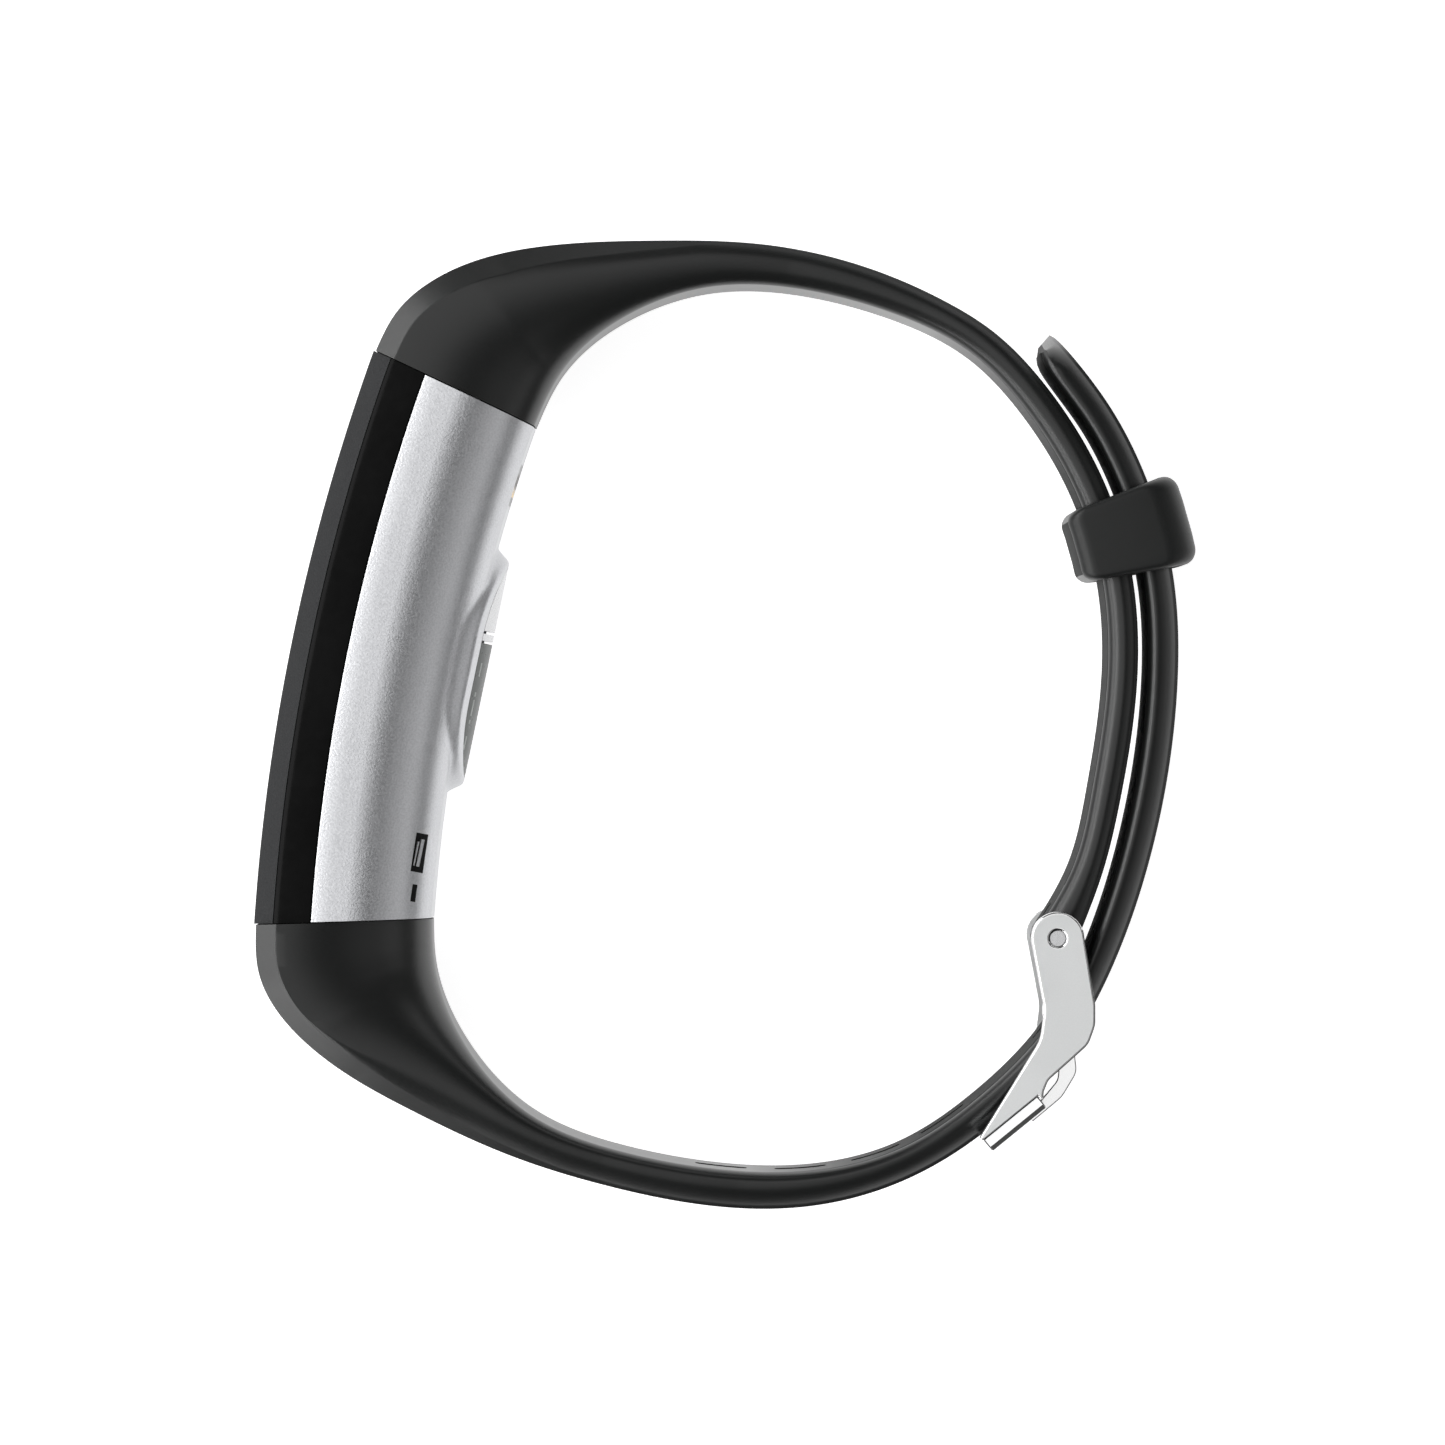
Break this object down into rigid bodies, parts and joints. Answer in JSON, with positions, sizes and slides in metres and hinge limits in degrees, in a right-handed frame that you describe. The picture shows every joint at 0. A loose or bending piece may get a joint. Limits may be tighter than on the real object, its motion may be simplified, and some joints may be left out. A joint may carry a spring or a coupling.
{
  "type": "fitness tracker band",
  "caption": "Slim curved fitness tracker with a metal case, black glass front and optical sensor island, on a soft two-part strap closed into a loop by a pin buckle and a sliding keeper.",
  "frame": {"origin": "under the middle of the loop, on the surface that the band lies on", "axes": "+Z is the axis of the loop, the band lying on its side; the display faces -X; +Y runs along the case towards the strap that carries the buckle"},
  "size_m": [0.0613, 0.0662, 0.02],
  "materials": {
    "lens_glass": "tinted cover glass, polished face with a finely ground bevel",
    "gloss_black": "polished black bezel",
    "blasted_metal": "bead-blasted, satin",
    "seal_rubber": "matt",
    "clear_adhesive": "clear film",
    "display_dark": "dark emissive panel, switched off",
    "film_amber": "polyimide film",
    "inner_plastic": "moulded, glass-filled",
    "board_green": "solder mask over laminate",
    "chip_black": "epoxy package",
    "contact_gold": "gold plated",
    "cell_pouch": "laminated pouch",
    "foam_grey": "closed-cell foam",
    "steel_bright": "turned steel",
    "weight_steel": "sintered heavy metal",
    "copper_winding": "enamelled copper",
    "led_package": "white package with a clear top",
    "detector_dark": "silicon under clear resin",
    "window_tint": "grey-green tinted window",
    "electrode_metal": "polished steel electrode",
    "strap_rubber": "satin black elastomer",
    "buckle_metal": "satin face with polished bevels"
  },
  "bodies": {
    "tracker": {"front_lens": "lens_glass", "front_bezel": "gloss_black", "metal_case": "blasted_metal", "bezel_gasket": "seal_rubber", "lens_adhesive": "clear_adhesive", "display_panel": "display_dark", "touch_film": "film_amber", "display_flex": "film_amber", "mid_frame": "inner_plastic", "main_board": "board_green", "board_screws": "steel_bright", "processor": "chip_black", "memory_chip": "chip_black", "radio_chip": "chip_black", "motion_sensor": "chip_black", "radio_antenna": "contact_gold", "battery": "cell_pouch", "battery_pad": "foam_grey", "motor_can": "steel_bright", "motor_cradle": "seal_rubber", "sensor_board": "board_green", "sensor_led_one": "led_package", "sensor_led_two": "led_package", "light_detector": "detector_dark", "light_barrier": "inner_plastic", "sensor_window": "window_tint", "electrode_plate": "electrode_metal", "sensor_divider": "electrode_metal", "pressure_vent": "inner_plastic", "microphone_mesh": "inner_plastic", "contact_holder": "inner_plastic", "charge_contact_one": "contact_gold", "charge_contact_two": "contact_gold", "upper_strap": "strap_rubber", "lower_strap": "strap_rubber", "upper_bar_tube": "steel_bright", "upper_bar_spring": "steel_bright", "lower_bar_tube": "steel_bright", "lower_bar_spring": "steel_bright", "buckle_bar_tube": "steel_bright", "buckle_bar_spring": "steel_bright"},
    "keeper": {"keeper_loop": "strap_rubber"},
    "buckle": {"buckle_frame": "buckle_metal"},
    "tongue": {"buckle_tongue": "buckle_metal"},
    "motor_rotor": {"motor_shaft": "steel_bright", "motor_weight": "weight_steel", "motor_armature": "copper_winding"},
    "upper_bar_tip_near": {"upper_bar_tip_near": "steel_bright"},
    "upper_bar_tip_far": {"upper_bar_tip_far": "steel_bright"},
    "lower_bar_tip_near": {"lower_bar_tip_near": "steel_bright"},
    "lower_bar_tip_far": {"lower_bar_tip_far": "steel_bright"},
    "buckle_bar_tip_near": {"buckle_bar_tip_near": "steel_bright"},
    "buckle_bar_tip_far": {"buckle_bar_tip_far": "steel_bright"}
  },
  "joints": [
    {"name": "keeper_slide", "type": "hinge", "parent": "tracker", "child": "keeper", "pos_m": [-0.001, 0.0051, 0.01], "axis": [0, 0, 1], "range_deg": [-16, 18]},
    {"name": "buckle_pivot", "type": "hinge", "parent": "tracker", "child": "buckle", "pos_m": [0.02569, -0.00986, 0.01], "axis": [0, 0, 1], "range_deg": [0, 3]},
    {"name": "tongue_pivot", "type": "hinge", "parent": "buckle", "child": "tongue", "pos_m": [0.02569, -0.00986, 0.01], "axis": [0, 0, 1], "range_deg": [0, 1.2]},
    {"name": "motor_spin", "type": "hinge", "parent": "tracker", "child": "motor_rotor", "pos_m": [-0.0213, 0.0116, 0.01], "axis": [0, 0, 1], "continuous": true},
    {"name": "upper_bar_tip_near_press", "type": "slide", "parent": "tracker", "child": "upper_bar_tip_near", "axis": [0, 0, -1], "range_m": [0, 0.0013], "stiffness_N_per_m": 300, "springref_m": -0.0008, "deforming": ["upper_bar_spring"]},
    {"name": "upper_bar_tip_far_press", "type": "slide", "parent": "tracker", "child": "upper_bar_tip_far", "axis": [0, 0, 1], "range_m": [0, 0.0013], "stiffness_N_per_m": 300, "springref_m": -0.0008, "deforming": ["upper_bar_spring"]},
    {"name": "lower_bar_tip_near_press", "type": "slide", "parent": "tracker", "child": "lower_bar_tip_near", "axis": [0, 0, -1], "range_m": [0, 0.0013], "stiffness_N_per_m": 300, "springref_m": -0.0008, "deforming": ["lower_bar_spring"]},
    {"name": "lower_bar_tip_far_press", "type": "slide", "parent": "tracker", "child": "lower_bar_tip_far", "axis": [0, 0, 1], "range_m": [0, 0.0013], "stiffness_N_per_m": 300, "springref_m": -0.0008, "deforming": ["lower_bar_spring"]},
    {"name": "buckle_bar_tip_near_press", "type": "slide", "parent": "tracker", "child": "buckle_bar_tip_near", "axis": [0, 0, -1], "range_m": [0, 0.0013], "stiffness_N_per_m": 300, "springref_m": -0.0008, "deforming": ["buckle_bar_spring"]},
    {"name": "buckle_bar_tip_far_press", "type": "slide", "parent": "tracker", "child": "buckle_bar_tip_far", "axis": [0, 0, 1], "range_m": [0, 0.0013], "stiffness_N_per_m": 300, "springref_m": -0.0008, "deforming": ["buckle_bar_spring"]}
  ]
}
